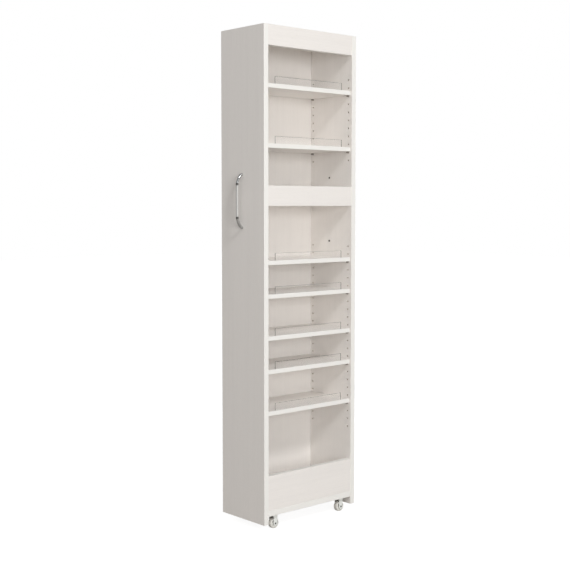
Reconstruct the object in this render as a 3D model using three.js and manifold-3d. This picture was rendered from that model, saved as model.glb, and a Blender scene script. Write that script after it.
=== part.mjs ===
// Slim rolling pantry cart: a tall narrow shelf unit on four fixed casters, closed at the back
// and open along its front side, pulled out of its gap by a bow handle on one narrow end.
//
// Millimetres, +Z up. The floor is z = 0. The open side faces -Y and the handle end faces -X.
// The origin lies on the floor, under the middle of the whole cart with its handle.

import * as THREE from 'three';
import { mergeVertices } from 'three/addons/utils/BufferGeometryUtils.js';
import Module from 'manifold-3d';

const wasm = await Module();
wasm.setup();

// ---- Driving dimensions: the cabinet ----

const LENGTH = 378;            // along X, over both end panels
const DEPTH = 200;             // along Y: the width of the gap that the cart stands in
const PANEL_HEIGHT = 1480;     // of the end panels
const FLOOR_GAP = 22;          // floor to the lower edge of the end panels
const BOARD = 17;              // end panels, top board, middle shelf and fascias
const BOTTOM_BOARD = 18;
const BOTTOM_BOARD_Z = 46;     // underside of the bottom board
const BACK_PANEL = 5;
const BACK_SETBACK = 7.5;      // back panel behind the rear edges of the end panels
const BACK_GROOVE_DEPTH = 6;
const FASCIA_SETBACK = 1;      // fascias behind the front edges of the end panels
const TOP_FASCIA_HEIGHT = 60;
const MIDDLE_FASCIA_HEIGHT = 60;
const MIDDLE_SHELF_Z = 974;    // underside of the fixed shelf
const BOTTOM_FASCIA_TOP = 169;

// ---- Driving dimensions: shelves, guards and peg holes ----

const SHELF = 13;              // thickness of an adjustable shelf
const SHELF_SETBACK = 5;
const SHELF_CLEARANCE = 1;     // at each end and at the back
const GUARD_LENGTH = 275;
const GUARD = 2;               // thickness of the clear strip
const GUARD_SHOWING = 22;      // its height above the shelf
const GUARD_SEAT = 3;          // how deep it stands in the shelf
const GUARD_SETBACK = 9.5;     // behind the front edges of the end panels
const GUARD_CORNER = 1;
const PEG_PITCH = 25;
const PEG_RADIUS = 2.5;
const PEG_DEPTH = 9;
const PEG_ROWS = [{ first: 272, count: 24 }, { first: 1117, count: 11 }];
const PEG_FRONT = 15;          // front column, behind the panel's front edge
const PEG_BACK = 177;          // rear column, behind the panel's front edge

// The row and the hole, counted from its lowest, that each shelf's pins stand in: top one first.
const SHELF_PLACES = [[1, 8], [1, 1], [0, 21], [0, 17], [0, 12], [0, 8], [0, 3]];

// ---- Driving dimensions: handle and fasteners ----

const HANDLE_REACH = 24;       // how far the handle stands out of its panel
const HANDLE_Z = 988.5;        // middle of the handle
const HANDLE_PITCH = 160;      // between its two bolts
const GRIP_LENGTH = 94;
const GRIP_RADIUS = 4;
const BEND_RADIUS = 4.25;
const BEND_SLIMNESS = 1.2;     // 1 bends its ends in a quarter ellipse, more in a flatter curve
const SPIGOT_RADIUS = 2.5;
const SPIGOT_LENGTH = 6;
const BOLT_RADIUS = 2;
const BOLT_HEAD_RADIUS = 4.5;
const BOLT_HEAD = 2.5;
const BOLT_BITE = 4.5;         // length of bolt inside the handle's foot
const FAR_SCREWS_Z = [1064, 862];
const SCREW_HEAD_RADIUS = 3.25;
const SCREW_HEAD = 1.5;
const SCREW_LENGTH = 12;
const DOMED_HEAD_TOP = 0.7;    // width of a head's flat top, as a share of the head's
const DOWEL_RADIUS = 4;
const DOWEL_LENGTH = 30;
const DOWEL_IN_PANEL = 12;
const DOWEL_Y = 50;            // dowels lie this far each side of the middle

// ---- Driving dimensions: casters ----

const WHEEL_RADIUS = 16;
const WHEEL_WIDTH = 16;
const AXLE_RADIUS = 2.25;
const AXLE_HEAD_RADIUS = 3;
const AXLE_HEAD = 1;
const WHEEL_RIM = 3.25;        // depth of the rim along the wheel's radius
const WHEEL_WEB = 8;           // thickness between hub and rim
const TREAD_ROUNDING = 1.25;
const CASTER_FROM_HANDLE_PANEL = 39.5;  // wheel centre to the inner face of the panel
const CASTER_FROM_FAR_PANEL = 28;
const CASTER_FROM_FRONT = 25;  // wheel centre to the plane of the panels' front edges
const FORK_GAP = 18;
const CHEEK = 1.5;
const CHEEK_WIDTH = 15;
const PLATE = { length: 40, width: 30, thickness: 2 };
const PLATE_HOLES = { x: 15, y: 11, radius: 1.75 };

// ---- Number of sides of round pieces ----

const PEG_SIDES = 8;
const PLATE_HOLE_SIDES = 8;
const DOWEL_SIDES = 12;
const PIN_SIDES = 12;          // bolts, screws and their holes
const TUBE_SIDES = 16;
const AXLE_SIDES = 16;
const WHEEL_SIDES = 24;
const BEND_STEPS = 10;         // along each end of the handle
const CHEEK_STEPS = 10;        // around the round end of a fork's cheek
const GUARD_CORNER_STEPS = 4;

// ---- Clearances ----

const LOOSE = 0.25;            // around a piece that sits in a hole, groove or seat
const RUNNING = 0.1;           // around an axle
const OVERSHOOT = 1;           // how far a cutting shape stands out of what it cuts

// ---- Derived planes ----

const HANDLE_FACE = HANDLE_REACH - (LENGTH + HANDLE_REACH) / 2;
const FAR_FACE = HANDLE_FACE + LENGTH;
const INSIDE_X = [HANDLE_FACE + BOARD, FAR_FACE - BOARD];
const MIDDLE_X = (INSIDE_X[0] + INSIDE_X[1]) / 2;
const FRONT = -DEPTH / 2;
const REAR = DEPTH / 2;
const BACK_Y = [REAR - BACK_SETBACK - BACK_PANEL, REAR - BACK_SETBACK];
const FASCIA_Y = [FRONT + FASCIA_SETBACK, FRONT + FASCIA_SETBACK + BOARD];
const HEIGHT = FLOOR_GAP + PANEL_HEIGHT;
const TOP_BOARD_Z = HEIGHT - BOARD;
const BOTTOM_TOP_Z = BOTTOM_BOARD_Z + BOTTOM_BOARD;

// ---- Materials ----

function finish(color, roughness, metalness = 0) {
  return new THREE.MeshStandardMaterial({ color, roughness, metalness });
}

const WHITE_BOARD = finish('#ece8e3', 0.55);
const CLEAR_PLASTIC = finish('#dfe3e2', 0.08);
CLEAR_PLASTIC.transparent = true;
CLEAR_PLASTIC.opacity = 0.3;
const CHROME = finish('#d4d5d6', 0.12, 1);
const SATIN_METAL = finish('#c9c9c7', 0.4, 0.9);
const DARK_STEEL = finish('#4a4643', 0.45, 0.8);
const CASTER_PLASTIC = finish('#dfe4de', 0.45);
const WHEEL_PLASTIC = finish('#d3d3c8', 0.5);
const DOWEL_WOOD = finish('#cda97c', 0.8);

// ---- Solids ----

function toSolid(geometry) {
  const bare = geometry.clone();
  bare.deleteAttribute('normal');
  bare.deleteAttribute('uv');
  const merged = mergeVertices(bare);
  return new wasm.Manifold(new wasm.Mesh({
    numProp: 3,
    vertProperties: merged.attributes.position.array,
    triVerts: Uint32Array.from(merged.index.array),
  }));
}

function toGeometry(solid) {
  const mesh = solid.getMesh();
  const geometry = new THREE.BufferGeometry();
  geometry.setAttribute('position', new THREE.BufferAttribute(mesh.vertProperties, 3));
  geometry.setIndex(new THREE.BufferAttribute(mesh.triVerts, 1));
  geometry.computeVertexNormals();
  return geometry;
}

function cut(body, tools) {
  const start = toSolid(body);
  return toGeometry(tools.reduce((left, tool) => left.subtract(toSolid(tool)), start));
}

function join(pieces) {
  return toGeometry(pieces.map(toSolid).reduce((whole, piece) => whole.add(piece)));
}

// A box given by its lowest and highest coordinate along each axis.
function block([x0, x1], [y0, y1], [z0, z1]) {
  const box = new THREE.BoxGeometry(x1 - x0, y1 - y0, z1 - z0);
  return box.translate((x0 + x1) / 2, (y0 + y1) / 2, (z0 + z1) / 2);
}

// A round bar along X from x0 to x1. Its flats, not its corners, lie at the radius.
function barAlongX(radius, x0, x1, y, z, sides) {
  const corner = radius / Math.cos(Math.PI / sides);
  const bar = new THREE.CylinderGeometry(corner, corner, Math.abs(x1 - x0), sides);
  return bar.rotateZ(Math.PI / 2).translate((x0 + x1) / 2, y, z);
}

function barAlongZ(radius, z0, z1, x, y, sides) {
  const corner = radius / Math.cos(Math.PI / sides);
  const bar = new THREE.CylinderGeometry(corner, corner, z1 - z0, sides);
  return bar.rotateX(Math.PI / 2).translate(x, y, (z0 + z1) / 2);
}

// A turned piece about Y from [radius, height] pairs that run upwards along its outside.
function turned(profile, sides) {
  return new THREE.LatheGeometry(profile.map(([r, y]) => new THREE.Vector2(r, y)), sides);
}

function place(parent, name, geometry, material, x = 0, y = 0, z = 0) {
  const mesh = new THREE.Mesh(geometry, material);
  mesh.name = name;
  mesh.position.set(x, y, z);
  parent.add(mesh);
  return mesh;
}

// ---- End panels ----

const DOWEL_HEIGHTS = [
  TOP_BOARD_Z + BOARD / 2,
  MIDDLE_SHELF_Z + BOARD / 2,
  BOTTOM_BOARD_Z + BOTTOM_BOARD / 2,
];
const SIDES_OF_MIDDLE = [-1, 1];

// Every hole below is cut from the panel's inner face at x = 0; outward is -1 or +1 along X.
function pegHoles(outward) {
  const holes = [];
  for (const { first, count } of PEG_ROWS) {
    for (let i = 0; i < count; i += 1) {
      const z = first + i * PEG_PITCH;
      for (const y of [FRONT + PEG_FRONT, FRONT + PEG_BACK]) {
        const ends = [-OVERSHOOT * outward, PEG_DEPTH * outward];
        holes.push(barAlongX(PEG_RADIUS, ends[0], ends[1], y, z, PEG_SIDES));
      }
    }
  }
  return holes;
}

function dowelHoles(outward, depth, heights) {
  const radius = DOWEL_RADIUS + RUNNING;
  const far = (depth + LOOSE) * outward;
  return heights.flatMap((z) => SIDES_OF_MIDDLE.map((side) =>
    barAlongX(radius, -OVERSHOOT * outward, far, side * DOWEL_Y, z, DOWEL_SIDES)));
}

function backGroove(outward) {
  const x = [-OVERSHOOT * outward, BACK_GROOVE_DEPTH * outward].sort((a, b) => a - b);
  const y = [BACK_Y[0] - LOOSE, BACK_Y[1] + LOOSE];
  return block(x, y, [BOTTOM_TOP_Z - LOOSE, TOP_BOARD_Z + LOOSE]);
}

function endPanel(outward, extraHoles) {
  const x = [0, BOARD * outward].sort((a, b) => a - b);
  const body = block(x, [FRONT, REAR], [FLOOR_GAP, HEIGHT]);
  return cut(body, [
    backGroove(outward),
    ...pegHoles(outward),
    ...dowelHoles(outward, DOWEL_IN_PANEL, DOWEL_HEIGHTS),
    ...extraHoles,
  ]);
}

function handleBoltHoles() {
  return SIDES_OF_MIDDLE.map((side) => {
    const z = HANDLE_Z + side * HANDLE_PITCH / 2;
    return barAlongX(BOLT_RADIUS + LOOSE, OVERSHOOT, -BOARD - OVERSHOOT, 0, z, PIN_SIDES);
  });
}

function farScrewHoles() {
  return FAR_SCREWS_Z.map((z) =>
    barAlongX(BOLT_RADIUS + LOOSE, -OVERSHOOT, SCREW_LENGTH + LOOSE, 0, z, PIN_SIDES));
}

function addEndPanels(cart) {
  place(cart, 'handle_end_panel', endPanel(-1, handleBoltHoles()), WHITE_BOARD, INSIDE_X[0]);
  place(cart, 'far_end_panel', endPanel(1, farScrewHoles()), WHITE_BOARD, INSIDE_X[1]);
}

// ---- Fixed boards ----

// A board between the end panels, drilled for a pair of dowels at each end.
function dowelledBoard(y, z) {
  const half = (INSIDE_X[1] - INSIDE_X[0]) / 2;
  const middle = (z[0] + z[1]) / 2;
  const holes = SIDES_OF_MIDDLE.flatMap((end) =>
    dowelHoles(-end, DOWEL_LENGTH - DOWEL_IN_PANEL, [middle])
      .map((hole) => hole.translate(end * half, 0, 0)));
  return cut(block([-half, half], y, z), holes);
}

function fascia(z) {
  const half = (INSIDE_X[1] - INSIDE_X[0]) / 2;
  return block([-half, half], FASCIA_Y, z);
}

function addFixedBoards(cart) {
  const behindFascia = FASCIA_Y[1];
  const topZ = [TOP_BOARD_Z, HEIGHT];
  const middleZ = [MIDDLE_SHELF_Z, MIDDLE_SHELF_Z + BOARD];
  const bottomZ = [BOTTOM_BOARD_Z, BOTTOM_TOP_Z];
  const boards = {
    top_board: dowelledBoard([behindFascia, REAR], topZ),
    middle_shelf: dowelledBoard([behindFascia, BACK_Y[0]], middleZ),
    bottom_board: dowelledBoard([FASCIA_Y[0], REAR], bottomZ),
    top_fascia: fascia([HEIGHT - TOP_FASCIA_HEIGHT, HEIGHT]),
    middle_fascia: fascia([MIDDLE_SHELF_Z, MIDDLE_SHELF_Z + MIDDLE_FASCIA_HEIGHT]),
    bottom_fascia: fascia([BOTTOM_TOP_Z, BOTTOM_FASCIA_TOP]),
  };
  for (const [name, geometry] of Object.entries(boards)) {
    place(cart, name, geometry, WHITE_BOARD, MIDDLE_X);
  }
}

function addBackPanel(cart) {
  const reach = (INSIDE_X[1] - INSIDE_X[0]) / 2 + BACK_GROOVE_DEPTH - 2 * LOOSE;
  const panel = block([-reach, reach], BACK_Y, [BOTTOM_TOP_Z, TOP_BOARD_Z]);
  place(cart, 'back_panel', panel, WHITE_BOARD, MIDDLE_X);
}

function addDowels(cart) {
  const names = ['top', 'middle', 'bottom'];
  const ends = { handle: -1, far: 1 };
  const offset = DOWEL_LENGTH / 2 - DOWEL_IN_PANEL;
  const dowel = new THREE.CylinderGeometry(DOWEL_RADIUS, DOWEL_RADIUS, DOWEL_LENGTH, DOWEL_SIDES);
  dowel.rotateZ(Math.PI / 2);
  DOWEL_HEIGHTS.forEach((z, level) => {
    for (const [end, outward] of Object.entries(ends)) {
      const face = outward < 0 ? INSIDE_X[0] : INSIDE_X[1];
      const x = face - outward * offset;
      place(cart, `dowel_${names[level]}_${end}_front`, dowel, DOWEL_WOOD, x, -DOWEL_Y, z);
      place(cart, `dowel_${names[level]}_${end}_rear`, dowel, DOWEL_WOOD, x, DOWEL_Y, z);
    }
  });
}

// ---- Adjustable shelves and their guards ----

function shelfBoard() {
  const half = (INSIDE_X[1] - INSIDE_X[0]) / 2 - SHELF_CLEARANCE;
  const y = [FRONT + SHELF_SETBACK, BACK_Y[0] - SHELF_CLEARANCE];
  const body = block([-half, half], y, [0, SHELF]);
  const seatX = GUARD_LENGTH / 2 + LOOSE;
  const seatY = [FRONT + GUARD_SETBACK - LOOSE, FRONT + GUARD_SETBACK + GUARD + LOOSE];
  const seatZ = [SHELF - GUARD_SEAT - LOOSE, SHELF + OVERSHOOT];
  return cut(body, [block([-seatX, seatX], seatY, seatZ)]);
}

// An upright strip with rounded top corners, its front face at y = 0 and its foot at z = 0.
function guardStrip() {
  const half = GUARD_LENGTH / 2;
  const top = GUARD_SEAT + GUARD_SHOWING;
  const outline = new THREE.Shape();
  outline.moveTo(-half, 0);
  outline.lineTo(half, 0);
  outline.lineTo(half, top - GUARD_CORNER);
  outline.absarc(half - GUARD_CORNER, top - GUARD_CORNER, GUARD_CORNER, 0, Math.PI / 2);
  outline.absarc(GUARD_CORNER - half, top - GUARD_CORNER, GUARD_CORNER, Math.PI / 2, Math.PI);
  outline.closePath();
  const settings = { depth: GUARD, bevelEnabled: false, curveSegments: GUARD_CORNER_STEPS };
  const strip = new THREE.ExtrudeGeometry(outline, settings);
  return strip.rotateX(Math.PI / 2).translate(0, GUARD, 0);
}

// A shelf lies on top of the pins that stand in its holes.
function shelfUnderside([row, hole]) {
  return PEG_ROWS[row].first + hole * PEG_PITCH + PEG_RADIUS;
}

function addShelves(cart) {
  const board = shelfBoard();
  const strip = guardStrip();
  SHELF_PLACES.map(shelfUnderside).forEach((z, index) => {
    const seat = z + SHELF - GUARD_SEAT;
    place(cart, `shelf_${index + 1}`, board, WHITE_BOARD, MIDDLE_X, 0, z);
    place(cart, `guard_${index + 1}`, strip, CLEAR_PLASTIC, MIDDLE_X, FRONT + GUARD_SETBACK, seat);
  });
}

// ---- Handle ----

const GRIP_X = BEND_RADIUS - HANDLE_REACH;

// From inside the panel, through the foot, round to the end of the grip.
class Bend extends THREE.Curve {
  constructor(side) {
    super();
    this.side = side;
  }

  getPoint(t, target = new THREE.Vector3()) {
    const out = Math.sin(t * Math.PI / 2) ** BEND_SLIMNESS;
    const up = Math.sin((1 - t) * Math.PI / 2) ** BEND_SLIMNESS;
    const rise = up * (HANDLE_PITCH - GRIP_LENGTH) / 2;
    const x = OVERSHOOT + (GRIP_X - OVERSHOOT) * out;
    return target.set(x, 0, this.side * (GRIP_LENGTH / 2 + rise));
  }
}

// One chromed end, with a socket for its bolt in the foot and one for the grip's spigot.
function handleEnd(side) {
  const section = new THREE.Shape().absarc(0, 0, BEND_RADIUS, 0, 2 * Math.PI);
  const settings = { extrudePath: new Bend(side), steps: BEND_STEPS, curveSegments: TUBE_SIDES / 2 };
  const tube = new THREE.ExtrudeGeometry(section, { ...settings, bevelEnabled: false });
  const boltZ = side * HANDLE_PITCH / 2;
  const bite = -BOLT_BITE - LOOSE;
  const boltHole = barAlongX(BOLT_RADIUS + LOOSE, OVERSHOOT, bite, 0, boltZ, PIN_SIDES);
  const mouth = side * (GRIP_LENGTH / 2 - OVERSHOOT);
  const end = side * (GRIP_LENGTH / 2 + SPIGOT_LENGTH + LOOSE);
  const [low, high] = [mouth, end].sort((a, b) => a - b);
  const socket = barAlongZ(SPIGOT_RADIUS + LOOSE, low, high, GRIP_X, 0, PIN_SIDES);
  const insidePanel = block([0, BOARD], [-BOARD, BOARD], [boltZ - BOARD, boltZ + BOARD]);
  return cut(tube, [insidePanel, boltHole, socket]);
}

// A straight rod along Z, stepped down to a spigot at each end.
function grip() {
  const shoulder = GRIP_LENGTH / 2 - LOOSE;
  const tip = GRIP_LENGTH / 2 + SPIGOT_LENGTH;
  const profile = [
    [0, -tip], [SPIGOT_RADIUS, -tip], [SPIGOT_RADIUS, -shoulder], [GRIP_RADIUS, -shoulder],
    [GRIP_RADIUS, shoulder], [SPIGOT_RADIUS, shoulder], [SPIGOT_RADIUS, tip], [0, tip],
  ];
  return turned(profile, TUBE_SIDES).rotateX(Math.PI / 2);
}

// A round-headed bolt or screw along -X, the underside of its head at x = 0.
function headedPin(length, headRadius, headHeight) {
  const profile = [
    [0, -length], [BOLT_RADIUS, -length], [BOLT_RADIUS, 0], [headRadius, 0],
    [headRadius, headHeight / 2], [headRadius * DOMED_HEAD_TOP, headHeight], [0, headHeight],
  ];
  return turned(profile, PIN_SIDES).rotateZ(-Math.PI / 2);
}

function addHandle(cart) {
  const handle = new THREE.Group();
  handle.position.set(HANDLE_FACE, 0, HANDLE_Z);
  cart.add(handle);
  place(handle, 'handle_grip', grip(), SATIN_METAL, GRIP_X);
  place(handle, 'handle_end_upper', handleEnd(1), CHROME);
  place(handle, 'handle_end_lower', handleEnd(-1), CHROME);
  const bolt = headedPin(BOARD + BOLT_BITE, BOLT_HEAD_RADIUS, BOLT_HEAD);
  place(handle, 'handle_bolt_upper', bolt, DARK_STEEL, BOARD, 0, HANDLE_PITCH / 2);
  place(handle, 'handle_bolt_lower', bolt, DARK_STEEL, BOARD, 0, -HANDLE_PITCH / 2);
}

function addFarScrews(cart) {
  const screw = headedPin(SCREW_LENGTH, SCREW_HEAD_RADIUS, SCREW_HEAD).rotateZ(Math.PI);
  ['upper', 'lower'].forEach((level, index) => {
    place(cart, `far_screw_${level}`, screw, DARK_STEEL, INSIDE_X[1], 0, FAR_SCREWS_Z[index]);
  });
}

// ---- Casters ----

// One side of the fork: an upright strap with a round lower end about the axle.
function cheek(side) {
  const half = CHEEK_WIDTH / 2;
  const top = BOTTOM_BOARD_Z - PLATE.thickness / 2;
  const outline = new THREE.Shape();
  outline.moveTo(half, top);
  outline.lineTo(-half, top);
  outline.lineTo(-half, WHEEL_RADIUS);
  outline.absarc(0, WHEEL_RADIUS, half, Math.PI, 2 * Math.PI);
  outline.closePath();
  const settings = { depth: CHEEK, bevelEnabled: false, curveSegments: CHEEK_STEPS };
  const strap = new THREE.ExtrudeGeometry(outline, settings).rotateX(Math.PI / 2);
  return strap.translate(0, side * (FORK_GAP + CHEEK) / 2 + CHEEK / 2, 0);
}

function axleHole() {
  const radius = (AXLE_RADIUS + RUNNING) / Math.cos(Math.PI / AXLE_SIDES);
  const length = FORK_GAP + 2 * CHEEK + 2 * OVERSHOOT;
  const hole = new THREE.CylinderGeometry(radius, radius, length, AXLE_SIDES);
  return hole.translate(0, 0, WHEEL_RADIUS);
}

function plateHoles() {
  const { x, y, radius } = PLATE_HOLES;
  const top = BOTTOM_BOARD_Z + OVERSHOOT;
  const bottom = BOTTOM_BOARD_Z - PLATE.thickness - OVERSHOOT;
  return SIDES_OF_MIDDLE.flatMap((sideX) => SIDES_OF_MIDDLE.map((sideY) =>
    barAlongZ(radius, bottom, top, sideX * x, sideY * y, PLATE_HOLE_SIDES)));
}

function fork() {
  const plate = block(
    [-PLATE.length / 2, PLATE.length / 2],
    [-PLATE.width / 2, PLATE.width / 2],
    [BOTTOM_BOARD_Z - PLATE.thickness, BOTTOM_BOARD_Z],
  );
  return cut(join([plate, cheek(-1), cheek(1)]), [axleHole(), ...plateHoles()]);
}

// Closed ring profile: rounded tread, recessed web and a hub with a bore. A flat of the
// tread, not a corner, is at the wheel's radius, and one flat faces the floor.
function wheel() {
  const half = WHEEL_WIDTH / 2;
  const tread = WHEEL_RADIUS / Math.cos(Math.PI / WHEEL_SIDES);
  const bore = (AXLE_RADIUS + RUNNING) / Math.cos(Math.PI / WHEEL_SIDES);
  const hub = 2 * AXLE_RADIUS;
  const rim = WHEEL_RADIUS - WHEEL_RIM;
  const web = WHEEL_WEB / 2;
  const round = TREAD_ROUNDING;
  const profile = [
    [bore, -half], [hub, -half], [hub, -web], [rim, -web], [rim, -half + round],
    [tread - round, -half + round], [tread, -half + 2 * round], [tread, half - 2 * round],
    [tread - round, half - round], [rim, half - round], [rim, web], [hub, web], [hub, half],
    [bore, half], [bore, -half],
  ];
  return turned(profile, WHEEL_SIDES).rotateY(Math.PI / WHEEL_SIDES);
}

// A rivet along Y with a low head outside each cheek.
function axle() {
  const shoulder = FORK_GAP / 2 + CHEEK + LOOSE;
  const end = shoulder + AXLE_HEAD;
  const profile = [
    [0, -end], [AXLE_HEAD_RADIUS, -end], [AXLE_HEAD_RADIUS, -shoulder], [AXLE_RADIUS, -shoulder],
    [AXLE_RADIUS, shoulder], [AXLE_HEAD_RADIUS, shoulder], [AXLE_HEAD_RADIUS, end], [0, end],
  ];
  return turned(profile, AXLE_SIDES);
}

function addCasters(cart) {
  const pieces = { fork: fork(), wheel: wheel(), axle: axle() };
  const ends = {
    handle: INSIDE_X[0] + CASTER_FROM_HANDLE_PANEL,
    far: INSIDE_X[1] - CASTER_FROM_FAR_PANEL,
  };
  const sides = { front: FRONT + CASTER_FROM_FRONT, rear: REAR - CASTER_FROM_FRONT };
  for (const [end, x] of Object.entries(ends)) {
    for (const [side, y] of Object.entries(sides)) {
      const caster = new THREE.Group();
      caster.position.set(x, y, 0);
      cart.add(caster);
      const name = `caster_${end}_${side}`;
      place(caster, `${name}_fork`, pieces.fork, CASTER_PLASTIC);
      place(caster, `${name}_wheel`, pieces.wheel, WHEEL_PLASTIC, 0, 0, WHEEL_RADIUS);
      place(caster, `${name}_axle`, pieces.axle, DARK_STEEL, 0, 0, WHEEL_RADIUS);
    }
  }
}

// ---- The cart ----

const cart = new THREE.Group();
addEndPanels(cart);
addFixedBoards(cart);
addBackPanel(cart);
addDowels(cart);
addShelves(cart);
addHandle(cart);
addFarScrews(cart);
addCasters(cart);

export default cart;
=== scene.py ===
"""Slim rolling pantry cart: materials, fine pieces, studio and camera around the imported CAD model.

Metres, +Z up, in the CAD frame: the handle end faces -X and the open side faces -Y.
"""

import math

import bmesh
import bpy
from mathutils import Matrix, Vector


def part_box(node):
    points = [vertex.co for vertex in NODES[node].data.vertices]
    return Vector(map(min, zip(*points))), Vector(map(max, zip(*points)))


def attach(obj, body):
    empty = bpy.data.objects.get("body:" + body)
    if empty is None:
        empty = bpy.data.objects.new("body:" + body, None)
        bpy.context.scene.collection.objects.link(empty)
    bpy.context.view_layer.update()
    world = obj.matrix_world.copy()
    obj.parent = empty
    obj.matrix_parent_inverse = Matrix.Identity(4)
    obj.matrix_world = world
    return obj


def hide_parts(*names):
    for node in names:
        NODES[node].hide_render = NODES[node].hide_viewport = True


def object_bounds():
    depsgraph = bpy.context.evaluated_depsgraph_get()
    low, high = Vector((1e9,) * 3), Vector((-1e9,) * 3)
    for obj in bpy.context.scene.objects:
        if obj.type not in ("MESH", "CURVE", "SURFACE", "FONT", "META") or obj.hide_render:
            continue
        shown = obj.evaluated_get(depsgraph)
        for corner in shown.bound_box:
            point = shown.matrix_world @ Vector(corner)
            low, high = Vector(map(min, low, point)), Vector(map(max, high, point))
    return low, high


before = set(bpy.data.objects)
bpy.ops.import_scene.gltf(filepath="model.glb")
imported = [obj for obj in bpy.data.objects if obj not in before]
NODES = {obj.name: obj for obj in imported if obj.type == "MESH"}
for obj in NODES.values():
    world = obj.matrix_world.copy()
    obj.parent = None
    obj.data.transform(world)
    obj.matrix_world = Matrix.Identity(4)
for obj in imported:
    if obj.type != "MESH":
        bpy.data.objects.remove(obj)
cad_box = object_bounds()
MM = 0.001
ROOT = "cabinet"


# ---- Node materials ----


class Shader:
    """A material and short ways to add and link its nodes."""

    def __init__(self, name):
        self.material = bpy.data.materials.new(name)
        self.material.use_nodes = True
        self.tree = self.material.node_tree
        self.bsdf = self.tree.nodes["Principled BSDF"]

    def set(self, **values):
        for name, value in values.items():
            self.bsdf.inputs[name.replace("_", " ")].default_value = value

    def link(self, source, target):
        self.tree.links.new(source, target)

    def node(self, kind, **settings):
        made = self.tree.nodes.new(kind)
        for name, value in settings.items():
            setattr(made, name, value)
        return made

    def put(self, socket, value):
        """Gives an input a number or colour, or links it to an output."""
        if isinstance(value, bpy.types.NodeSocket):
            self.link(value, socket)
        else:
            socket.default_value = value

    def math(self, operation, a, b=0.0, clamp=False):
        made = self.node("ShaderNodeMath", operation=operation, use_clamp=clamp)
        self.put(made.inputs[0], a)
        self.put(made.inputs[1], b)
        return made.outputs[0]

    def coordinates(self, output="Object", scale=(1, 1, 1), offset=(0, 0, 0)):
        place = self.node("ShaderNodeTexCoord")
        mapping = self.node("ShaderNodeMapping")
        mapping.inputs["Scale"].default_value = scale
        mapping.inputs["Location"].default_value = offset
        self.link(place.outputs[output], mapping.inputs["Vector"])
        return mapping.outputs[0]

    def noise(self, scale, offset=(0, 0, 0), detail=3.0, roughness=0.5, distortion=0.0):
        """Noise from 0 to 1, with its number of features per metre along each axis."""
        made = self.node("ShaderNodeTexNoise")
        made.inputs["Scale"].default_value = 1.0
        made.inputs["Detail"].default_value = detail
        made.inputs["Roughness"].default_value = roughness
        made.inputs["Distortion"].default_value = distortion
        self.link(self.coordinates(scale=scale, offset=offset), made.inputs["Vector"])
        return made.outputs["Fac"]

    def ramp(self, value, stops):
        """A colour ramp of (position, grey or colour) stops."""
        made = self.node("ShaderNodeValToRGB")
        elements = made.color_ramp.elements
        while len(elements) < len(stops):
            elements.new(0.5)
        for element, (position, colour) in zip(elements, stops):
            element.position = position
            element.color = (*colour, 1) if isinstance(colour, tuple) else (colour,) * 3 + (1,)
        self.link(value, made.inputs["Fac"])
        return made.outputs["Color"]

    def mix(self, share, a, b, blend="MIX"):
        made = self.node("ShaderNodeMix", data_type="RGBA", blend_type=blend)
        self.put(made.inputs["Factor"], share)
        self.put(made.inputs[6], (*a, 1) if isinstance(a, tuple) else a)
        self.put(made.inputs[7], (*b, 1) if isinstance(b, tuple) else b)
        return made.outputs[2]

    def bump(self, height, distance, strength=1.0):
        made = self.node("ShaderNodeBump")
        made.inputs["Strength"].default_value = strength
        made.inputs["Distance"].default_value = distance
        self.link(height, made.inputs["Height"])
        self.link(made.outputs["Normal"], self.bsdf.inputs["Normal"])

    def colour(self, value):
        self.put(self.bsdf.inputs["Base Color"], value)

    def roughness(self, value):
        self.put(self.bsdf.inputs["Roughness"], value)


FOIL = (0.955, 0.921, 0.886)       # printed face of the boards
BAND = (0.975, 0.965, 0.930)       # plain edge band
PORE = (0.72, 0.685, 0.64)         # short dark marks in the printed grain
CORE = (0.66, 0.58, 0.49)          # particle board inside a drilled hole
FOIL_DEPTH = 0.4 * MM              # deeper than this, a hole shows the core
AXES = {"X": 0, "Y": 1, "Z": 2}


def axis_scale(grain, along, across):
    return tuple(along if i == AXES[grain] else across for i in range(3))


def inside_box(shader, low, high):
    """1 inside a box of the object's own coordinates, 0 outside."""
    split = shader.node("ShaderNodeSeparateXYZ")
    shader.link(shader.coordinates(), split.inputs[0])
    mask = 1.0
    for axis in range(3):
        over = shader.math("GREATER_THAN", split.outputs[axis], low[axis])
        under = shader.math("LESS_THAN", split.outputs[axis], high[axis])
        mask = shader.math("MULTIPLY", mask, shader.math("MULTIPLY", over, under))
    return mask


def faces_along(shader, axis):
    """1 where the surface faces along the axis, 0 where it faces across it."""
    place = shader.node("ShaderNodeTexCoord")
    split = shader.node("ShaderNodeSeparateXYZ")
    shader.link(place.outputs["Normal"], split.inputs[0])
    size = shader.math("ABSOLUTE", split.outputs[AXES[axis]])
    return shader.math("GREATER_THAN", size, 0.5)


def wood_print(s, grain, shift):
    """Streaks, fibres and pores of the printed grain. Returns its colour, the fibres and pores."""
    streaks = s.noise(axis_scale(grain, 1.6, 70), shift, detail=4, distortion=0.4)
    fibre = s.noise(axis_scale(grain, 9, 620), shift, detail=3, roughness=0.6)
    specks = s.noise(axis_scale(grain, 55, 1500), shift, detail=2, roughness=0.5)
    pores = s.ramp(specks, [(0.30, 1.0), (0.42, 0.0)])
    tone = s.ramp(streaks, [(0.30, 0.982), (0.50, 1.0), (0.72, 1.01)])
    fine = s.ramp(fibre, [(0.30, 0.982), (0.65, 1.008)])
    foil = s.mix(1.0, s.mix(1.0, FOIL, tone, "MULTIPLY"), fine, "MULTIPLY")
    return s.mix(s.math("MULTIPLY", pores, 0.2), foil, PORE), fibre, pores


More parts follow.
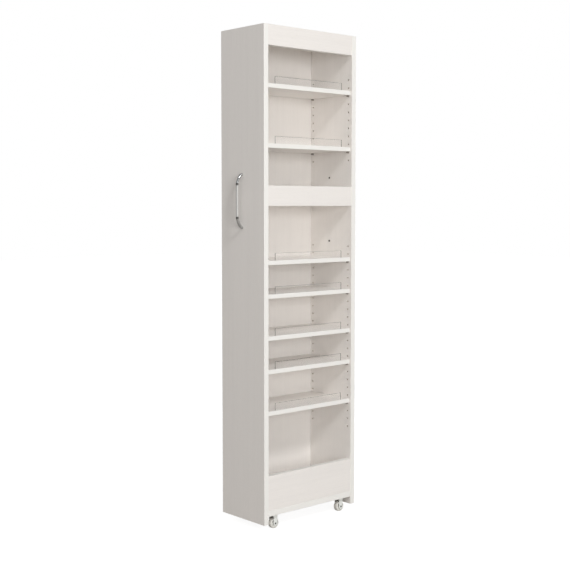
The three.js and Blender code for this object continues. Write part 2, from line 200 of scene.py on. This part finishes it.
def bare_core(s, node, shift):
    """Colour of the chips in the core, and 1 where a hole lays them bare."""
    low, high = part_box(node)
    skin = Vector((FOIL_DEPTH,) * 3)
    chips = s.noise((900, 900, 900), shift, detail=2)
    core = s.mix(1.0, CORE, s.ramp(chips, [(0.3, 0.6), (0.7, 1.25)]), "MULTIPLY")
    return core, inside_box(s, low + skin, high - skin)


def board_material(name, node, grain, face, seed):
    """White wood-grain foil on the faces, plain band on the edges, raw core inside holes."""
    s = Shader(name)
    shift = (seed * 1.7, seed * 2.3, seed * 3.1)
    foil, fibre, pores = wood_print(s, grain, shift)
    core, in_hole = bare_core(s, node, shift)
    on_face = faces_along(s, face)
    s.colour(s.mix(in_hole, s.mix(on_face, BAND, foil), core))
    s.roughness(s.math("ADD", 0.32, s.math("MULTIPLY", fibre, 0.16)))
    relief = s.math("SUBTRACT", s.math("MULTIPLY", fibre, 0.5), s.math("MULTIPLY", pores, 0.5))
    s.bump(s.math("MULTIPLY", relief, on_face), 0.12 * MM, 0.6)
    s.set(Specular_IOR_Level=0.5)
    return s.material


def speckled(name, colour, rough, metal=0.0, grain=400, wear=0.12, bump_depth=0.03 * MM):
    """A plain moulded or drawn surface with a little unevenness in colour, gloss and height."""
    s = Shader(name)
    broad = s.noise((60, 60, 60), detail=3)
    fine = s.noise((grain,) * 3, detail=3, roughness=0.6)
    shade = s.ramp(broad, [(0.30, 1.0 - wear), (0.70, 1.0)])
    s.colour(s.mix(1.0, colour, shade, "MULTIPLY"))
    s.roughness(s.math("ADD", rough, s.math("MULTIPLY", fine, 0.12)))
    s.set(Metallic=metal)
    s.bump(fine, bump_depth, 0.5)
    return s.material


def brushed_metal(name, colour, rough, grain, metal):
    """Metal brushed along its length."""
    s = Shader(name)
    lines = s.noise(axis_scale(grain, 25, 2600), detail=2, roughness=0.6)
    s.colour(s.mix(1.0, colour, s.ramp(lines, [(0.3, 0.88), (0.7, 1.04)]), "MULTIPLY"))
    s.roughness(s.math("ADD", rough, s.math("MULTIPLY", lines, 0.14)))
    s.set(Metallic=metal)
    s.bump(lines, 0.02 * MM, 0.4)
    return s.material


def clear_plastic(name, colour, alpha, rough):
    """Clear acrylic, thin enough to show no bending of light through its faces."""
    s = Shader(name)
    dust = s.noise((180, 180, 180), detail=3)
    s.colour(s.mix(1.0, colour, s.ramp(dust, [(0.3, 0.96), (0.7, 1.0)]), "MULTIPLY"))
    s.roughness(s.math("ADD", rough, s.math("MULTIPLY", dust, 0.05)))
    s.set(Alpha=alpha, IOR=1.49)
    return s.material


# ---- Mesh tools ----


def new_object(name, bm, material, smooth_angle=35):
    """Turns a bmesh into a piece with smooth faces and sharp edges past the angle."""
    bmesh.ops.recalc_face_normals(bm, faces=bm.faces)
    limit = math.radians(smooth_angle)
    for face in bm.faces:
        face.smooth = True
    for edge in bm.edges:
        edge.smooth = edge.is_manifold and edge.calc_face_angle(0.0) < limit
    mesh = bpy.data.meshes.new(name)
    bm.to_mesh(mesh)
    bm.free()
    mesh.materials.append(material)
    made = bpy.data.objects.new(name, mesh)
    bpy.context.scene.collection.objects.link(made)
    return made


def copy_of(made, name):
    twin = bpy.data.objects.new(name, made.data)
    bpy.context.scene.collection.objects.link(twin)
    return twin


def circle(sides):
    """Cosine and sine of equal steps round a circle."""
    turns = [2 * math.pi * k / sides for k in range(sides)]
    return [(math.cos(a), math.sin(a)) for a in turns]


def revolve(bm, profile, sides):
    """A closed body turned about Z from (radius, height) pairs that start and end on the axis,
    or, where they don't, that close on themselves as a ring."""
    rings = []
    for radius, height in profile:
        around = circle(sides) if radius > 0 else [(0, 0)]
        rings.append([bm.verts.new((radius * c, radius * s, height)) for c, s in around])
    pairs = list(zip(rings, rings[1:]))
    if len(rings[0]) > 1:
        pairs.append((rings[-1], rings[0]))
    for low, high in pairs:
        for k in range(sides):
            n = (k + 1) % sides
            quad = (low[k % len(low)], low[n % len(low)], high[n % len(high)], high[k % len(high)])
            bm.faces.new(list(dict.fromkeys(quad)))


def sweep(bm, path, radii, sides):
    """A round tube in the XZ plane along path, capped at both ends. Returns its bands of faces."""
    rings = []
    across = Vector((0, 1, 0))
    for i, (point, radius) in enumerate(zip(path, radii)):
        ahead = (path[min(i + 1, len(path) - 1)] - path[max(i - 1, 0)]).normalized()
        up = ahead.cross(across)
        rings.append([bm.verts.new(point + radius * (c * across + s * up)) for c, s in circle(sides)])
    bands = []
    for low, high in zip(rings, rings[1:]):
        sheet = zip(low, low[1:] + low[:1], high[1:] + high[:1], high)
        bands.append([bm.faces.new(corners) for corners in sheet])
    bm.faces.new(rings[0])
    bm.faces.new(list(reversed(rings[-1])))
    return bands


def ease_edges(node, width, segments=2, angle=30):
    """Rounds the edges of a CAD node for the light to catch, with modifiers only."""
    made = NODES[node]
    weld = made.modifiers.new("weld", "WELD")
    weld.merge_threshold = 0.01 * MM
    bevel = made.modifiers.new("eased_edges", "BEVEL")
    bevel.width = width
    bevel.segments = segments
    bevel.limit_method = "ANGLE"
    bevel.angle_limit = math.radians(angle)
    bevel.harden_normals = False
    for polygon in made.data.polygons:
        polygon.use_smooth = False


def paint(node, material):
    made = NODES[node]
    made.data.materials.clear()
    made.data.materials.append(material)


# ---- Boards ----

# node: (grain direction, axis that its printed faces look along)
BOARDS = {
    "handle_end_panel": ("Z", "X"),
    "far_end_panel": ("Z", "X"),
    "back_panel": ("Z", "Y"),
    "top_board": ("X", "Z"),
    "middle_shelf": ("X", "Z"),
    "bottom_board": ("X", "Z"),
    "top_fascia": ("X", "Y"),
    "middle_fascia": ("X", "Y"),
    "bottom_fascia": ("X", "Y"),
}
SHELVES = [f"shelf_{i}" for i in range(1, 8)]
GUARDS = [f"guard_{i}" for i in range(1, 8)]

# Rounding of edges on CAD nodes.
BOARD_EDGE = 0.6 * MM
DOWEL_EDGE = 0.5 * MM
BOLT_EDGE = 0.3 * MM
SCREW_EDGE = 0.2 * MM
FORK_EDGE = 0.35 * MM
AXLE_EDGE = 0.3 * MM


def finish_boards():
    boards = dict(BOARDS)
    for name in SHELVES:
        boards[name] = ("X", "Z")
    for seed, (name, (grain, face)) in enumerate(boards.items(), start=1):
        paint(name, board_material(f"foil_{name}", name, grain, face, seed))
        ease_edges(name, BOARD_EDGE)


def finish_dowels():
    wood = Shader("fluted_beech")
    rings = wood.noise(axis_scale("X", 40, 900), detail=3)
    tone = wood.ramp(rings, [(0.3, 0.75), (0.7, 1.1)])
    wood.colour(wood.mix(1.0, (0.62, 0.44, 0.26), tone, "MULTIPLY"))
    wood.roughness(0.7)
    wood.bump(rings, 0.1 * MM)
    for name in NODES:
        if name.startswith("dowel_"):
            paint(name, wood.material)
            ease_edges(name, DOWEL_EDGE)


# ---- Clear guards ----

GUARD_CORNER = 1 * MM
GUARD_CORNER_STEPS = 8
GUARD_CHAMFER = 0.45 * MM


def guard_outline(low, high, inset):
    """Points of the guard's outline in XZ, with rounded top corners, drawn in by inset."""
    points = [(low.x + inset, low.z + inset), (high.x - inset, low.z + inset)]
    for x, start in ((high.x - GUARD_CORNER, 0), (low.x + GUARD_CORNER, 90)):
        for k in range(GUARD_CORNER_STEPS + 1):
            a = math.radians(start + k * 90 / GUARD_CORNER_STEPS)
            r = GUARD_CORNER - inset
            points.append((x + r * math.cos(a), high.z - GUARD_CORNER + r * math.sin(a)))
    return points


def build_guard(node, face_material, painted_dark_edge_material):
    """A clear strip with polished, chamfered edges, painted dark to stand for the light they bend and
    reflect away, so they look darker than its faces.
    """
    low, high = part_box(node)
    c = GUARD_CHAMFER
    layers = [(low.y, c), (low.y + c, 0.0), (high.y - c, 0.0), (high.y, c)]
    bm = bmesh.new()
    loops = [[bm.verts.new((x, y, z)) for x, z in guard_outline(low, high, inset)]
             for y, inset in layers]
    for near, far in zip(loops, loops[1:]):
        for k in range(len(near)):
            n = (k + 1) % len(near)
            bm.faces.new((near[k], near[n], far[n], far[k])).material_index = 1
    bm.faces.new(loops[0])
    bm.faces.new(list(reversed(loops[-1])))
    made = new_object(f"{node}_strip", bm, face_material, smooth_angle=25)
    made.data.materials.append(painted_dark_edge_material)
    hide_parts(node)
    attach(made, ROOT)


def finish_guards():
    face = clear_plastic("acrylic_face", (0.70, 0.72, 0.71), 0.03, 0.03)
    # Painted dark edges: the near-opaque dark grey stands for the light that the polished edges bend
    # and reflect away.
    edge = clear_plastic("acrylic_edge_painted_dark", (0.08, 0.08, 0.075), 0.85, 0.10)
    for name in GUARDS:
        build_guard(name, face, edge)


# ---- Shelf pins ----

PIN_COLLAR = (3.2 * MM, 0.7 * MM)    # radius and thickness
PIN_COLLAR_ROUNDING = 0.3            # as a share of the thickness
PIN_RADIUS = 2.4 * MM
PIN_IN_HOLE = 8 * MM
PIN_SHOWING = 6.5 * MM
PIN_ROUNDING = 0.6 * MM
PIN_SIDES = 24
PIN_COLUMNS = {"front": 15 * MM, "rear": 177 * MM}    # behind the panels' front edges
PEG_HOLE_RADIUS = 2.5 * MM


def pin_mesh(material):
    """A turned peg along +Z: the shank in the hole below 0, then a collar and a rounded tip."""
    collar, thick = PIN_COLLAR
    eased = PIN_COLLAR_ROUNDING * thick
    tip = thick + PIN_SHOWING
    soft = PIN_ROUNDING
    bm = bmesh.new()
    revolve(bm, [
        (0, -PIN_IN_HOLE), (PIN_RADIUS - soft, -PIN_IN_HOLE), (PIN_RADIUS, soft - PIN_IN_HOLE),
        (PIN_RADIUS, 0), (collar, 0), (collar, thick - eased), (collar - eased, thick),
        (PIN_RADIUS, thick), (PIN_RADIUS, tip - soft), (PIN_RADIUS - soft, tip), (0, tip),
    ], PIN_SIDES)
    return new_object("shelf_1_pin_handle_front", bm, material)


def place_pins():
    """Four pins under each adjustable shelf, two in each end panel."""
    steel = speckled("bronzed_steel", (0.42, 0.385, 0.35), 0.36, metal=0.6)
    front_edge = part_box("far_end_panel")[0].y
    ends = {
        "handle": (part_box("handle_end_panel")[1].x, math.radians(90)),
        "far": (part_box("far_end_panel")[0].x, math.radians(-90)),
    }
    first = pin_mesh(steel)
    for shelf in SHELVES:
        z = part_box(shelf)[0].z - PEG_HOLE_RADIUS
        for end, (x, turn) in ends.items():
            for column, behind in PIN_COLUMNS.items():
                name = f"{shelf}_pin_{end}_{column}"
                made = first if name == first.name else copy_of(first, name)
                place = Matrix.Translation((x, front_edge + behind, z))
                made.matrix_world = place @ Matrix.Rotation(turn, 4, "Y")
                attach(made, ROOT)


# ---- Screws ----

PLATE_SCREW = (2.6 * MM, 1.4 * MM)              # radius and height of the head
PLATE_SCREW_OFFSETS = (15 * MM, 11 * MM)        # along X and Y from the middle of the plate
PLATE_THICKNESS = 2 * MM
HEAD_RIM = 0.35                                 # upright rim of a head, as a share of its height
HEAD_STEPS = 6
HEAD_SIDES = 32
CROSS_WIDTH = 0.22                              # of the recess, as a share of the head's radius
CROSS_DEPTH = 0.45                              # as a share of the head's height


def cross_cutter(name, radius, height, material):
    """Two crossed bars, as tall as the head, that dip into its top."""
    bm = bmesh.new()
    lift = Matrix.Translation((0, 0, height * (1.5 - CROSS_DEPTH)))
    size = Matrix.Diagonal((radius, radius * CROSS_WIDTH, height, 1))
    for degrees in (0, 90):
        turn = Matrix.Rotation(math.radians(degrees), 4, "Z")
        bmesh.ops.create_cube(bm, size=1, matrix=turn @ lift @ size)
    return new_object(name, bm, material)


def screw_head(name, radius, height, material):
    """A domed head along +Z with a cross recess, its flat underside at 0."""
    bm = bmesh.new()
    rise = [math.radians(90 * k / HEAD_STEPS) for k in range(HEAD_STEPS)]
    dome = [(radius * math.cos(a), height * (HEAD_RIM + (1 - HEAD_RIM) * math.sin(a)))
            for a in rise]
    revolve(bm, [(0, 0), (radius, 0), *dome, (0, height)], HEAD_SIDES)
    made = new_object(name, bm, material, smooth_angle=50)
    cutter = cross_cutter(f"{name}_cross", radius, height, material)
    cut = made.modifiers.new("cross", "BOOLEAN")
    cut.object = cutter
    cut.solver = "EXACT"
    cut.use_self = True
    bpy.context.view_layer.update()
    graph = bpy.context.evaluated_depsgraph_get()
    carved = bpy.data.meshes.new_from_object(made.evaluated_get(graph))
    made.modifiers.clear()
    made.data = carved
    bpy.data.objects.remove(cutter)
    return made


def casters():
    return [n[:-len("_fork")] for n in sorted(NODES) if n.endswith("_fork")]


def place_plate_screws(material):
    """Four screws under each caster's plate, their heads down."""
    first = None
    upside_down = Matrix.Rotation(math.pi, 4, "X")
    for caster in casters():
        low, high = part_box(f"{caster}_fork")
        centre = (low + high) / 2
        for end, side_x in {"near": -1, "far": 1}.items():
            for side, side_y in {"front": -1, "rear": 1}.items():
                name = f"{caster}_screw_{end}_{side}"
                if first is None:
                    first = made = screw_head(name, *PLATE_SCREW, material)
                else:
                    made = copy_of(first, name)
                x = centre.x + side_x * PLATE_SCREW_OFFSETS[0]
                y = centre.y + side_y * PLATE_SCREW_OFFSETS[1]
                place = Matrix.Translation((x, y, high.z - PLATE_THICKNESS))
                made.matrix_world = place @ upside_down
                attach(made, ROOT)


def finish_fasteners():
    zinc = speckled("zinc_screw", (0.50, 0.50, 0.50), 0.3, metal=0.9)
    dark = speckled("blackened_screw", (0.075, 0.065, 0.06), 0.42, metal=0.5)
    place_plate_screws(zinc)
    for name in ("handle_bolt_upper", "handle_bolt_lower"):
        paint(name, zinc)
        ease_edges(name, BOLT_EDGE)
    for name in ("far_screw_upper", "far_screw_lower"):
        paint(name, dark)
        ease_edges(name, SCREW_EDGE)


# ---- Handle ----

HANDLE_SIDES = 40
GRIP_RADIUS = 4 * MM
GRIP_EASE = 0.3 * MM            # chamfer at each end of the grip
GRIP_GAP = 0.25 * MM            # between the grip and each bend
SPIGOT_RADIUS = 2.4 * MM
SPIGOT_LENGTH = 5 * MM
BEND_RADIUS = 4.25 * MM
BEND_STEPS = 28
BEND_SLIMNESS = 1.2             # 1 would be a quarter of an ellipse; more cuts the corner
COLLAR_LENGTH = 5 * MM
COLLAR_DEPTH = 0.25 * MM        # how much narrower in radius the collar is


def handle_path(node, out_x):
    """Points along a rounded quarter turn from the foot, square to the panel, to the grip."""
    low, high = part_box(node)
    upper = node.endswith("upper")
    foot_z = high.z - BEND_RADIUS if upper else low.z + BEND_RADIUS
    end_z = low.z if upper else high.z
    points = []
    for k in range(BEND_STEPS + 1):
        turn = math.radians(90 * k / BEND_STEPS)
        out = math.sin(turn) ** BEND_SLIMNESS
        up = max(math.cos(turn), 0.0) ** BEND_SLIMNESS
        points.append(Vector((high.x + (out_x - high.x) * out, 0, end_z + (foot_z - end_z) * up)))
    return points


def build_handle_end(node, out_x, chrome, collar):
    """A chromed bend with a slightly narrower collar where it meets the grip; the collar's dark
    colour is painted shade of the groove at the joint.
    """
    path = handle_path(node, out_x)
    end = path[-1]
    shoulder = end + Vector((0, 0, math.copysign(COLLAR_LENGTH, path[0].z - end.z)))
    bend = [p for p in path if abs(p.z - end.z) > COLLAR_LENGTH + COLLAR_DEPTH]
    narrow = BEND_RADIUS - COLLAR_DEPTH
    bm = bmesh.new()
    radii = [BEND_RADIUS] * (len(bend) + 1) + [narrow, narrow]
    bands = sweep(bm, [*bend, shoulder, shoulder, end], radii, HANDLE_SIDES)
    # the collar bands take the dark painted-shade material
    for face in bands[-2] + bands[-1]:
        face.material_index = 1
    made = new_object(f"{node}_bend", bm, chrome, smooth_angle=40)
    made.data.materials.append(collar)
    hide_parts(node)
    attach(made, ROOT)


def build_grip(satin, out_x):
    low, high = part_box("handle_grip")
    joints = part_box("handle_end_lower")[1].z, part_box("handle_end_upper")[0].z
    half = (joints[1] - joints[0]) / 2 - GRIP_GAP
    tip = half + SPIGOT_LENGTH
    upper_half = [
        (GRIP_RADIUS, half - GRIP_EASE), (GRIP_RADIUS - GRIP_EASE, half),
        (SPIGOT_RADIUS, half), (SPIGOT_RADIUS, tip), (0, tip),
    ]
    lower_half = [(radius, -z) for radius, z in reversed(upper_half)]
    bm = bmesh.new()
    revolve(bm, lower_half + upper_half, HANDLE_SIDES)
    made = new_object("handle_grip_rod", bm, satin, smooth_angle=40)
    made.matrix_world = Matrix.Translation((out_x, 0, (low.z + high.z) / 2))
    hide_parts("handle_grip")
    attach(made, ROOT)


def finish_handle():
    chrome = speckled("polished_chrome", (0.56, 0.57, 0.57), 0.12, metal=1.0, wear=0.04,
                      bump_depth=0.004 * MM)
    satin = brushed_metal("satin_grip", (0.64, 0.64, 0.625), 0.52, "Z", metal=0.4)
    low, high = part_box("handle_grip")
    out_x = (low.x + high.x) / 2
    # Painted shade: the collar's dark colour stands for the shade in the groove between bend and
    # grip.
    collar = speckled("collar_painted_shade", (0.085, 0.082, 0.077), 0.5)
    build_handle_end("handle_end_upper", out_x, chrome, collar)
    build_handle_end("handle_end_lower", out_x, chrome, collar)
    build_grip(satin, out_x)


# ---- Casters ----

RIBS = 6
RIB = (1.3 * MM, 2 * MM)        # width and thickness of a rib
HUB_RADIUS = 4.2 * MM
AXLE_BORE = 2.4 * MM
RIM_INSIDE = 0.76               # inner radius of the rim, as a share of the wheel's
TREAD_FROM = 0.77               # inner radius of the tread, as a share of the wheel's
RIB_SINK = 0.2 * MM             # how far a rib runs into the web, hub and rim
WEB = 0.45                      # the web's thickness, as a share of the wheel's width
RIM_SET_BACK = 0.5 * MM         # of the rim's sides from the ends of the hub
SHOULDER = 3.5 * MM             # rounding from the rim's side to the tread
SHOULDER_STEPS = 5
WHEEL_SIDES = 72
FORK_INSIDE = 9.2 * MM          # half the width between the cheeks


def tread_profile(radius, half):
    """A round shoulder at each side of a flat tread."""
    points = []
    for k in range(SHOULDER_STEPS + 1):
        a = math.radians(90 * k / SHOULDER_STEPS)
        r = radius - SHOULDER * (1 - math.cos(a))
        points.append((r, half - SHOULDER * (1 - math.sin(a))))
    lower = [(r, -z) for r, z in reversed(points)]
    return lower + points


def add_ribs(bm, rim, half):
    """Ribs in the recess of each face, those of one face between those of the other."""
    width, thickness = RIB
    length = rim - HUB_RADIUS + 2 * RIB_SINK
    size = Matrix.Diagonal((length, width, thickness, 1))
    height = WEB * half + thickness / 2 - RIB_SINK
    for k in range(RIBS):
        for z, shift in ((-height, 0), (height, 0.5)):
            turn = Matrix.Rotation(2 * math.pi * (k + shift) / RIBS, 4, "Z")
            reach = Matrix.Translation(((rim + HUB_RADIUS) / 2, 0, z))
            bmesh.ops.create_cube(bm, size=1, matrix=turn @ reach @ size)


def wheel_mesh(name, radius, width, disc, tread):
    """A moulded wheel about Z: rounded tread, recessed faces, hub, and ribs in the recess."""
    half = width / 2
    rim = RIM_INSIDE * radius
    web = WEB * half
    side = half - RIM_SET_BACK
    lower = [(AXLE_BORE, -half), (HUB_RADIUS, -half), (HUB_RADIUS, -web), (rim, -web), (rim, -side)]
    upper = [(r, -z) for r, z in reversed(lower)]
    bm = bmesh.new()
    revolve(bm, lower + tread_profile(radius, side) + upper, WHEEL_SIDES)
    add_ribs(bm, rim, half)
    for face in bm.faces:
        if all(math.hypot(v.co.x, v.co.y) > TREAD_FROM * radius for v in face.verts):
            face.material_index = 1
    made = new_object(name, bm, disc)
    made.data.materials.append(tread)
    return made


def fork_material(caster):
    """Pale nylon outside, and dark grey painted shade between the cheeks above the wheel, where the
    board shades the fork.
    """
    s = Shader(f"{caster}_nylon")
    low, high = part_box(f"{caster}_fork")
    middle = (low + high) / 2
    broad = s.noise((60, 60, 60), detail=3)
    fine = s.noise((400, 400, 400), detail=3, roughness=0.6)
    # Painted shade: the space between the cheeks above the wheel is coloured dark grey for the shade
    # under the board.
    inside = inside_box(
        s,
        Vector((low.x, middle.y - FORK_INSIDE, low.z)),
        Vector((high.x, middle.y + FORK_INSIDE, high.z - PLATE_THICKNESS / 2)),
    )
    # dark grey painted shade in that space, pale nylon elsewhere
    colour = s.mix(inside, (0.93, 0.955, 0.925), (0.28, 0.27, 0.245))
    s.colour(s.mix(1.0, colour, s.ramp(broad, [(0.30, 0.94), (0.70, 1.0)]), "MULTIPLY"))
    s.roughness(s.math("ADD", 0.38, s.math("MULTIPLY", fine, 0.12)))
    s.bump(fine, 0.03 * MM, 0.5)
    return s.material


def finish_casters():
    disc = speckled("wheel_nylon", (0.95, 0.945, 0.90), 0.42, wear=0.08)
    tread = speckled("pale_tread", (0.93, 0.92, 0.875), 0.5, wear=0.15)
    rivet = speckled("dark_rivet", (0.26, 0.26, 0.25), 0.35, metal=0.7)
    first = None
    upright = Matrix.Rotation(math.pi / 2, 4, "X")
    for caster in casters():
        paint(f"{caster}_fork", fork_material(caster))
        ease_edges(f"{caster}_fork", FORK_EDGE)
        paint(f"{caster}_axle", rivet)
        ease_edges(f"{caster}_axle", AXLE_EDGE)
        node = f"{caster}_wheel"
        low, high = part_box(node)
        name = f"{node}_moulded"
        if first is None:
            first = made = wheel_mesh(name, high.z / 2, high.y - low.y, disc, tread)
        else:
            made = copy_of(first, name)
        made.matrix_world = Matrix.Translation((low + high) / 2) @ upright
        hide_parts(node)
        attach(made, caster.replace("caster", "wheel"))


# ---- Studio ----

FLOOR_SIZE = 30.0
FLOOR_SEEN = (0.30, 0.30, 0.30)     # to the camera, where the glow below makes it white
FLOOR_GLOW = 0.90
FLOOR_BOUNCE = (0.55, 0.515, 0.48)  # to the cart
SKY = 0.35                          # strength of the even light from all round

# Softboxes: place from the middle of the cart, size and power.
LOW_KEY = (Vector((-2.3, -5.5, 0.7)), 1.6, 108)
HIGH_KEY = (Vector((-1.9, -6.9, 6.2)), 1.3, 268)
LEFT_FILL = (Vector((-5.0, -2.6, 2.4)), 1.6, 15)


def camera_switch(tree, seen, unseen):
    """Shows one shader to the camera and lights the cart with the other."""
    path = tree.nodes.new("ShaderNodeLightPath")
    pick = tree.nodes.new("ShaderNodeMixShader")
    tree.links.new(path.outputs["Is Camera Ray"], pick.inputs["Fac"])
    tree.links.new(unseen.outputs[0], pick.inputs[1])
    tree.links.new(seen.outputs[0], pick.inputs[2])
    return pick.outputs[0]


def build_floor():
    """White to the camera but for a faint shadow, and a plain pale bounce to the cart."""
    s = Shader("pale_floor")
    tone = s.ramp(s.noise((3, 3, 3)), [(0.3, 0.97), (0.7, 1.0)])
    s.colour(s.mix(1.0, FLOOR_SEEN, tone, "MULTIPLY"))
    s.set(Roughness=0.9, Emission_Color=(1, 1, 1, 1), Emission_Strength=FLOOR_GLOW)
    bounce = s.node("ShaderNodeBsdfDiffuse")
    bounce.inputs["Color"].default_value = (*FLOOR_BOUNCE, 1)
    out = s.tree.nodes["Material Output"]
    s.link(camera_switch(s.tree, s.bsdf, bounce), out.inputs["Surface"])
    bm = bmesh.new()
    bmesh.ops.create_grid(bm, x_segments=1, y_segments=1, size=FLOOR_SIZE / 2)
    floor = new_object("studio_floor", bm, s.material)


def build_world():
    """Even light from all round on the cart; white where the camera sees it."""
    world = bpy.data.worlds.new("studio")
    world.use_nodes = True
    bpy.context.scene.world = world
    tree = world.node_tree
    tree.nodes.clear()
    out = tree.nodes.new("ShaderNodeOutputWorld")
    seen, fill = (tree.nodes.new("ShaderNodeBackground") for _ in range(2))
    for background, strength in ((seen, 1.0), (fill, SKY)):
        background.inputs["Color"].default_value = (1, 1, 1, 1)
        background.inputs["Strength"].default_value = strength
    tree.links.new(camera_switch(tree, seen, fill), out.inputs["Surface"])


def softbox(name, away, size, power):
    light = bpy.data.lights.new(name, "AREA")
    light.shape = "SQUARE"
    light.size = size
    light.energy = power
    made = bpy.data.objects.new(name, light)
    made.location = (cad_box[0] + cad_box[1]) / 2 + away
    made.rotation_mode = "QUATERNION"
    made.rotation_quaternion = (-away).to_track_quat("-Z", "Y")
    bpy.context.scene.collection.objects.link(made)


def build_lights():
    softbox("low_key", *LOW_KEY)
    softbox("high_key", *HIGH_KEY)
    softbox("left_fill", *LEFT_FILL)


# Camera: where it stands from the front lower corner of the handle end, and how it is turned.
CAMERA_FROM_CORNER = Vector((-2.0409, -2.3958, 0.9529))
CAMERA_YAW = math.radians(41.541)
CAMERA_PITCH = math.radians(-3.769)
CAMERA_LENS = 67.88
CAMERA_SENSOR = 36.0
CAMERA_SHIFT_Y = -0.015
CAMERA_RANGE = 100


def build_camera():
    data = bpy.data.cameras.new("camera")
    data.lens = CAMERA_LENS
    data.sensor_width = CAMERA_SENSOR
    data.shift_y = CAMERA_SHIFT_Y
    data.clip_end = CAMERA_RANGE
    camera = bpy.data.objects.new("camera", data)
    camera.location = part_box("handle_end_panel")[0] + CAMERA_FROM_CORNER
    ahead = Vector((
        math.sin(CAMERA_YAW) * math.cos(CAMERA_PITCH),
        math.cos(CAMERA_YAW) * math.cos(CAMERA_PITCH),
        math.sin(CAMERA_PITCH),
    ))
    camera.rotation_mode = "QUATERNION"
    camera.rotation_quaternion = ahead.to_track_quat("-Z", "Y")
    bpy.context.scene.collection.objects.link(camera)
    bpy.context.scene.camera = camera


build_camera()
build_world()
build_floor()
build_lights()
finish_boards()
finish_dowels()
finish_guards()
place_pins()
finish_fasteners()
finish_handle()
finish_casters()
bpy.context.scene.view_settings.view_transform = "Standard"
